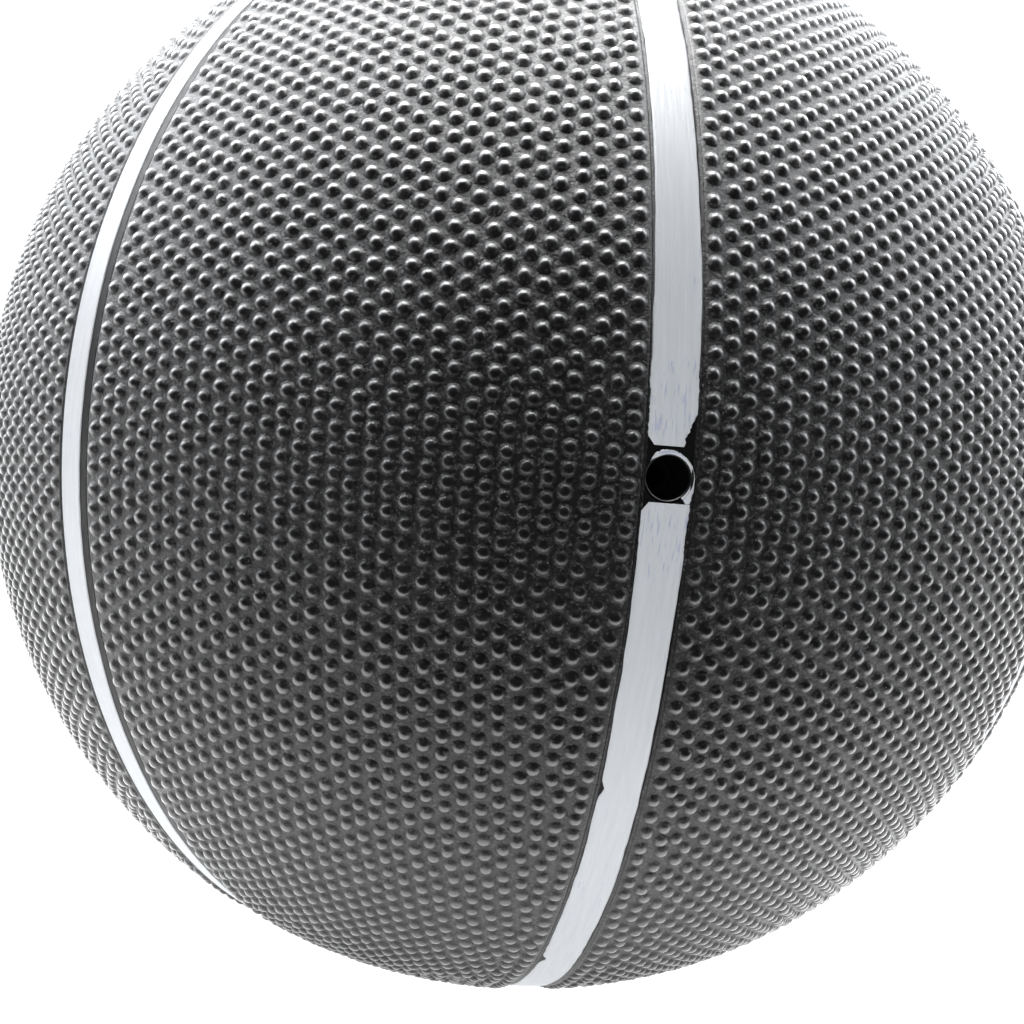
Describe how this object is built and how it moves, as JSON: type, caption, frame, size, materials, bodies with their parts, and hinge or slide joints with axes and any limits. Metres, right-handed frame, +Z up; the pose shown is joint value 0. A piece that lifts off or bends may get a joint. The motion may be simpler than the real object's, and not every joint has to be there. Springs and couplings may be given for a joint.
{
  "type": "basketball",
  "caption": "Small black pebble-grained rubber basketball with silver-painted seam channels and an inflation valve.",
  "frame": {"origin": "centre of the ball", "axes": "-Y out through the inflation valve; the valve seam lies in the plane X = 0 and the cross seam in the plane Y = 0; +X and -X are the middles of the two oval seams; +Z up"},
  "size_m": [0.1776, 0.1776, 0.1776],
  "materials": {
    "cover_rubber": "satin, pebble grained",
    "channel_rubber": "satin, painted silver-grey along the middle",
    "carcass_rubber": "matte",
    "winding_thread": "nylon thread in latex",
    "bladder_rubber": "smooth butyl",
    "valve_rubber": "smooth",
    "core_rubber": "smooth"
  },
  "bodies": {
    "root": {"panel_front_left": "cover_rubber", "panel_front_right": "cover_rubber", "panel_back_left": "cover_rubber", "panel_back_right": "cover_rubber", "side_panel_left_front": "cover_rubber", "side_panel_left_back": "cover_rubber", "side_panel_right_front": "cover_rubber", "side_panel_right_back": "cover_rubber", "seam_ring": "channel_rubber", "seam_oval_left": "channel_rubber", "seam_oval_right": "channel_rubber", "seam_short_top_left": "channel_rubber", "seam_short_top_right": "channel_rubber", "seam_short_bottom_left": "channel_rubber", "seam_short_bottom_right": "channel_rubber", "seam_long_left": "channel_rubber", "seam_long_right": "channel_rubber", "carcass": "carcass_rubber", "winding": "winding_thread", "bladder": "bladder_rubber", "valve_patch": "carcass_rubber", "valve_housing": "valve_rubber", "valve_core": "core_rubber"}
  },
  "joints": []
}
